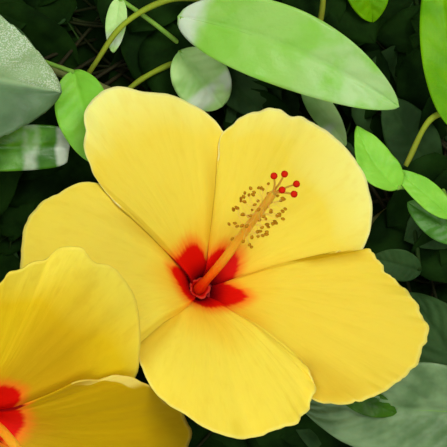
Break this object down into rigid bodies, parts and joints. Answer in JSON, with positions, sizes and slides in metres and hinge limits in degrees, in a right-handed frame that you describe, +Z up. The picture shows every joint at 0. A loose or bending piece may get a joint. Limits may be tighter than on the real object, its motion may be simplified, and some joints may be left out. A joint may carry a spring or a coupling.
{
  "type": "cut hibiscus branch",
  "caption": "Cut branch of a hibiscus shrub, lying down, with open yellow red-eyed blooms facing up among toothed green leaves.",
  "frame": {"origin": "on the ground plane, under the middle of the branch's bounding box", "axes": "+Z up from the ground the branch lies on, +X to the right and +Y to the top of the picture, which looks straight down"},
  "size_m": [0.3752, 0.3814, 0.1219],
  "materials": {
    "bark": "rough bark",
    "petal": "satin",
    "green": "satin",
    "column": "satin",
    "leaf": "semi-gloss"
  },
  "bodies": {
    "root": {"main_stem": "bark", "bough_left": "bark", "bough_right": "bark", "bough_lower_right": "bark", "bough_upper_left": "bark", "bough_lower_left": "bark", "bloom_1_petal_1": "petal", "bloom_1_petal_2": "petal", "bloom_1_petal_3": "petal", "bloom_1_petal_4": "petal", "bloom_1_petal_5": "petal", "bloom_2_petal_1": "petal", "bloom_2_petal_2": "petal", "bloom_2_petal_3": "petal", "bloom_2_petal_4": "petal", "bloom_2_petal_5": "petal", "bloom_1_calyx": "green", "bloom_1_stalk": "green", "bloom_2_calyx": "green", "bloom_2_stalk": "green", "bloom_1_column": "column", "bloom_2_column": "column", "foliage_upper_left": "leaf", "foliage_top": "leaf", "foliage_right": "leaf", "foliage_lower_right": "leaf", "foliage_left": "leaf", "foliage_lower_left": "leaf"}
  },
  "joints": []
}
